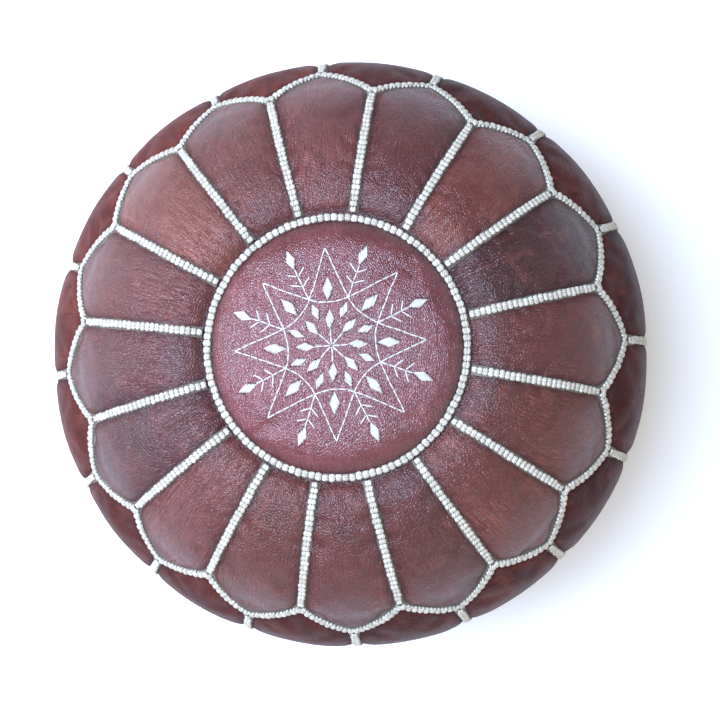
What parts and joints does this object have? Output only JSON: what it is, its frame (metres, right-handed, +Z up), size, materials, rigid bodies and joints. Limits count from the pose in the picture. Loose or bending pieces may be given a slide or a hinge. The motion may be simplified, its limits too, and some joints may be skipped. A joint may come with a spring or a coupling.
{
  "type": "moroccan leather pouf",
  "caption": "Round low leather floor pouf of petal panels round an embroidered medallion, with thick white braid over its seams and a zip underneath.",
  "frame": {"origin": "on the floor, under the centre of the pouf", "axes": "+Z up; +X along the zip underneath, towards its closed end, and through the middle of one petal"},
  "size_m": [0.54, 0.54, 0.33],
  "materials": {
    "petal_leather": "polished goat leather, red-brown with a mauve sheen",
    "side_leather": "polished goat leather, darker red-brown",
    "base_leather": "plain goat leather, duller",
    "medallion_leather": "polished goat leather with fine grain",
    "cotton_braid": "matt twisted cotton",
    "stuffing": "matt cotton and rag",
    "zip_tape": "woven tape",
    "zip_teeth": "dull brass",
    "zip_brass": "polished brass"
  },
  "bodies": {
    "pouf": {"top_petal_01": "petal_leather", "top_petal_02": "petal_leather", "top_petal_03": "petal_leather", "top_petal_04": "petal_leather", "top_petal_05": "petal_leather", "top_petal_06": "petal_leather", "top_petal_07": "petal_leather", "top_petal_08": "petal_leather", "top_petal_09": "petal_leather", "top_petal_10": "petal_leather", "top_petal_11": "petal_leather", "top_petal_12": "petal_leather", "top_petal_13": "petal_leather", "top_petal_14": "petal_leather", "top_petal_15": "petal_leather", "top_petal_16": "petal_leather", "side_panel_01": "side_leather", "side_panel_02": "side_leather", "side_panel_03": "side_leather", "side_panel_04": "side_leather", "side_panel_05": "side_leather", "side_panel_06": "side_leather", "side_panel_07": "side_leather", "side_panel_08": "side_leather", "side_panel_09": "side_leather", "side_panel_10": "side_leather", "side_panel_11": "side_leather", "side_panel_12": "side_leather", "side_panel_13": "side_leather", "side_panel_14": "side_leather", "side_panel_15": "side_leather", "side_panel_16": "side_leather", "bottom_petal_01": "base_leather", "bottom_petal_02": "base_leather", "bottom_petal_03": "base_leather", "bottom_petal_04": "base_leather", "bottom_petal_05": "base_leather", "bottom_petal_06": "base_leather", "bottom_petal_07": "base_leather", "bottom_petal_08": "base_leather", "bottom_petal_09": "base_leather", "bottom_petal_10": "base_leather", "bottom_petal_11": "base_leather", "bottom_petal_12": "base_leather", "bottom_petal_13": "base_leather", "bottom_petal_14": "base_leather", "bottom_petal_15": "base_leather", "bottom_petal_16": "base_leather", "top_medallion": "medallion_leather", "bottom_disc_left": "base_leather", "bottom_disc_right": "base_leather", "filling": "stuffing", "top_ring_braid": "cotton_braid", "top_petal_braids": "petal_leather", "side_braids": "cotton_braid", "bottom_braids": "cotton_braid", "zip_tapes": "zip_tape", "zip_teeth": "zip_teeth"},
    "slider": {"zip_slider": "zip_brass"},
    "pull": {"zip_pull": "zip_brass"}
  },
  "joints": [
    {"name": "zip_slide", "type": "slide", "parent": "pouf", "child": "slider", "axis": [-1, 0, 0], "range_m": [0, 0.184]},
    {"name": "pull_swing", "type": "hinge", "parent": "slider", "child": "pull", "pos_m": [0.092, 0, 0.0066], "axis": [0, -1, 0], "range_deg": [0, 180]}
  ]
}
